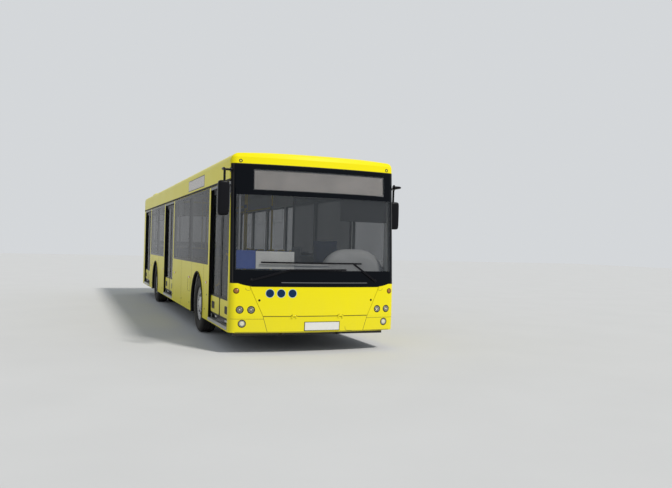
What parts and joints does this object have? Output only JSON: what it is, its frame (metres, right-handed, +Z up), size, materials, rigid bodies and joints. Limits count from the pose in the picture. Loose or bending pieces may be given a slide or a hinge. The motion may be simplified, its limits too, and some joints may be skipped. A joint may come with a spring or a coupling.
{
  "type": "city bus",
  "caption": "Low-floor city bus with hollow panelled body, inward-gliding double doors, steered front wheels, twin rear wheels, opening front flap, engine hatch and roof hatches.",
  "frame": {"origin": "on the ground below the middle of the body", "axes": "+Z up, the front faces -Y, the passenger doors are on -X"},
  "size_m": [2.94, 12.01, 2.9183],
  "materials": {
    "body_paint": "gloss",
    "panel_paint": "gloss",
    "screen_glass": "clear",
    "window_glass": "tinted",
    "door_frame": "black coat",
    "door_arms": "satin",
    "tyre_rubber": "matte",
    "rim_silver": "satin",
    "chassis_black": "satin",
    "axle_iron": "painted",
    "floor_cover": "speckled",
    "seat_shell": "moulded",
    "rail_yellow": "powder coat",
    "dash_grey": "grained",
    "cab_grey": "grained",
    "lamp_clear": "clear",
    "lamp_red": "clear",
    "sign_black": "gloss",
    "mirror_black": "gloss",
    "wiper_black": "satin",
    "engine_iron": "painted"
  },
  "bodies": {
    "body": {"front_mask": "body_paint", "windscreen": "screen_glass", "front_panels": "panel_paint", "front_lamps": "lamp_clear", "right_wall": "body_paint", "left_wall": "body_paint", "roof": "body_paint", "rear_wall": "body_paint", "rear_lamps": "lamp_red", "door_gear": "dash_grey", "body_windows": "window_glass", "destination_sign": "sign_black", "underframe": "chassis_black", "floor": "floor_cover", "floor_boxes": "floor_cover", "engine": "engine_iron", "front_axle": "axle_iron", "rear_axle": "axle_iron", "mirrors": "mirror_black", "wipers": "wiper_black", "dashboard": "dash_grey", "cab": "cab_grey", "seats": "seat_shell", "handrails": "rail_yellow"},
    "door_front_fore_arms": {"door_front_fore_post": "door_arms"},
    "door_front_fore": {"door_front_fore_leaf": "door_frame", "door_front_fore_glass": "window_glass"},
    "door_front_aft_arms": {"door_front_aft_post": "door_arms"},
    "door_front_aft": {"door_front_aft_leaf": "door_frame", "door_front_aft_glass": "window_glass"},
    "door_middle_fore_arms": {"door_middle_fore_post": "door_arms"},
    "door_middle_fore": {"door_middle_fore_leaf": "door_frame", "door_middle_fore_glass": "window_glass"},
    "door_middle_aft_arms": {"door_middle_aft_post": "door_arms"},
    "door_middle_aft": {"door_middle_aft_leaf": "door_frame", "door_middle_aft_glass": "window_glass"},
    "door_rear_fore_arms": {"door_rear_fore_post": "door_arms"},
    "door_rear_fore": {"door_rear_fore_leaf": "door_frame", "door_rear_fore_glass": "window_glass"},
    "door_rear_aft_arms": {"door_rear_aft_post": "door_arms"},
    "door_rear_aft": {"door_rear_aft_leaf": "door_frame", "door_rear_aft_glass": "window_glass"},
    "knuckle_left": {"knuckle_left": "axle_iron"},
    "wheel_front_left": {"rim_front_left": "rim_silver", "tyre_front_left": "tyre_rubber"},
    "wheels_rear_left": {"rim_rear_left": "rim_silver", "tyres_rear_left": "tyre_rubber"},
    "knuckle_right": {"knuckle_right": "axle_iron"},
    "wheel_front_right": {"rim_front_right": "rim_silver", "tyre_front_right": "tyre_rubber"},
    "wheels_rear_right": {"rim_rear_right": "rim_silver", "tyres_rear_right": "tyre_rubber"},
    "steering_wheel": {"steering_wheel": "wiper_black"},
    "front_flap": {"front_flap": "panel_paint"},
    "engine_hatch": {"engine_hatch": "body_paint"},
    "roof_hatch_front": {"roof_hatch_front": "panel_paint"},
    "roof_hatch_rear": {"roof_hatch_rear": "panel_paint"}
  },
  "joints": [
    {"name": "front_fore_post_turn", "type": "hinge", "parent": "body", "child": "door_front_fore_arms", "pos_m": [-1.115, -5.755, 1.38], "axis": [0, 0, -1], "range_deg": [0, 90]},
    {"name": "front_fore_leaf_turn", "type": "hinge", "parent": "door_front_fore_arms", "child": "door_front_fore", "pos_m": [-1.182, -5.3885, 1.38], "axis": [0, 0, 1], "range_deg": [0, 180]},
    {"name": "front_aft_post_turn", "type": "hinge", "parent": "body", "child": "door_front_aft_arms", "pos_m": [-1.115, -4.325, 1.38], "axis": [0, 0, 1], "range_deg": [0, 90]},
    {"name": "front_aft_leaf_turn", "type": "hinge", "parent": "door_front_aft_arms", "child": "door_front_aft", "pos_m": [-1.182, -4.6915, 1.38], "axis": [0, 0, -1], "range_deg": [0, 180]},
    {"name": "middle_fore_post_turn", "type": "hinge", "parent": "body", "child": "door_middle_fore_arms", "pos_m": [-1.115, -0.255, 1.38], "axis": [0, 0, -1], "range_deg": [0, 90]},
    {"name": "middle_fore_leaf_turn", "type": "hinge", "parent": "door_middle_fore_arms", "child": "door_middle_fore", "pos_m": [-1.182, 0.1115, 1.38], "axis": [0, 0, 1], "range_deg": [0, 180]},
    {"name": "middle_aft_post_turn", "type": "hinge", "parent": "body", "child": "door_middle_aft_arms", "pos_m": [-1.115, 1.175, 1.38], "axis": [0, 0, 1], "range_deg": [0, 90]},
    {"name": "middle_aft_leaf_turn", "type": "hinge", "parent": "door_middle_aft_arms", "child": "door_middle_aft", "pos_m": [-1.182, 0.8085, 1.38], "axis": [0, 0, -1], "range_deg": [0, 180]},
    {"name": "rear_fore_post_turn", "type": "hinge", "parent": "body", "child": "door_rear_fore_arms", "pos_m": [-1.115, 4.115, 1.38], "axis": [0, 0, -1], "range_deg": [0, 90]},
    {"name": "rear_fore_leaf_turn", "type": "hinge", "parent": "door_rear_fore_arms", "child": "door_rear_fore", "pos_m": [-1.182, 4.4815, 1.38], "axis": [0, 0, 1], "range_deg": [0, 180]},
    {"name": "rear_aft_post_turn", "type": "hinge", "parent": "body", "child": "door_rear_aft_arms", "pos_m": [-1.115, 5.545, 1.38], "axis": [0, 0, 1], "range_deg": [0, 90]},
    {"name": "rear_aft_leaf_turn", "type": "hinge", "parent": "door_rear_aft_arms", "child": "door_rear_aft", "pos_m": [-1.182, 5.1785, 1.38], "axis": [0, 0, -1], "range_deg": [0, 180]},
    {"name": "steer_left", "type": "hinge", "parent": "body", "child": "knuckle_left", "pos_m": [1.012, -3.28, 0.479], "axis": [0, 0, 1], "range_deg": [-40, 40]},
    {"name": "spin_front_left", "type": "hinge", "parent": "knuckle_left", "child": "wheel_front_left", "pos_m": [1.0845, -3.28, 0.479], "axis": [1, 0, 0], "continuous": true},
    {"name": "spin_rear_left", "type": "hinge", "parent": "body", "child": "wheels_rear_left", "pos_m": [0.929, 2.86, 0.479], "axis": [1, 0, 0], "continuous": true},
    {"name": "steer_right", "type": "hinge", "parent": "body", "child": "knuckle_right", "pos_m": [-1.012, -3.28, 0.479], "axis": [0, 0, 1], "range_deg": [-40, 40]},
    {"name": "spin_front_right", "type": "hinge", "parent": "knuckle_right", "child": "wheel_front_right", "pos_m": [-1.0845, -3.28, 0.479], "axis": [1, 0, 0], "continuous": true},
    {"name": "spin_rear_right", "type": "hinge", "parent": "body", "child": "wheels_rear_right", "pos_m": [-0.929, 2.86, 0.479], "axis": [1, 0, 0], "continuous": true},
    {"name": "steering_wheel_turn", "type": "hinge", "parent": "body", "child": "steering_wheel", "pos_m": [0.66, -5.06, 1.33], "axis": [0, 0.4226, 0.9063], "range_deg": [-720, 720]},
    {"name": "front_flap_turn", "type": "hinge", "parent": "body", "child": "front_flap", "pos_m": [0, -6, 0.534], "axis": [1, 0, 0], "range_deg": [0, 85]},
    {"name": "engine_hatch_turn", "type": "hinge", "parent": "body", "child": "engine_hatch", "pos_m": [0, 5.98799, 1.4], "axis": [1, 0, 0], "range_deg": [0, 80]},
    {"name": "roof_hatch_front_turn", "type": "hinge", "parent": "body", "child": "roof_hatch_front", "pos_m": [0, -2.068, 2.8703], "axis": [1, 0, 0], "range_deg": [0, 20]},
    {"name": "roof_hatch_rear_turn", "type": "hinge", "parent": "body", "child": "roof_hatch_rear", "pos_m": [0, 3.332, 2.8703], "axis": [1, 0, 0], "range_deg": [0, 20]}
  ],
  "couplings": [
    {"joint": "front_fore_leaf_turn", "follows": "front_fore_post_turn", "ratio": 2},
    {"joint": "front_aft_leaf_turn", "follows": "front_aft_post_turn", "ratio": 2},
    {"joint": "middle_fore_leaf_turn", "follows": "middle_fore_post_turn", "ratio": 2},
    {"joint": "middle_aft_leaf_turn", "follows": "middle_aft_post_turn", "ratio": 2},
    {"joint": "rear_fore_leaf_turn", "follows": "rear_fore_post_turn", "ratio": 2},
    {"joint": "rear_aft_leaf_turn", "follows": "rear_aft_post_turn", "ratio": 2},
    {"joint": "steer_right", "follows": "steer_left", "ratio": 1}
  ]
}
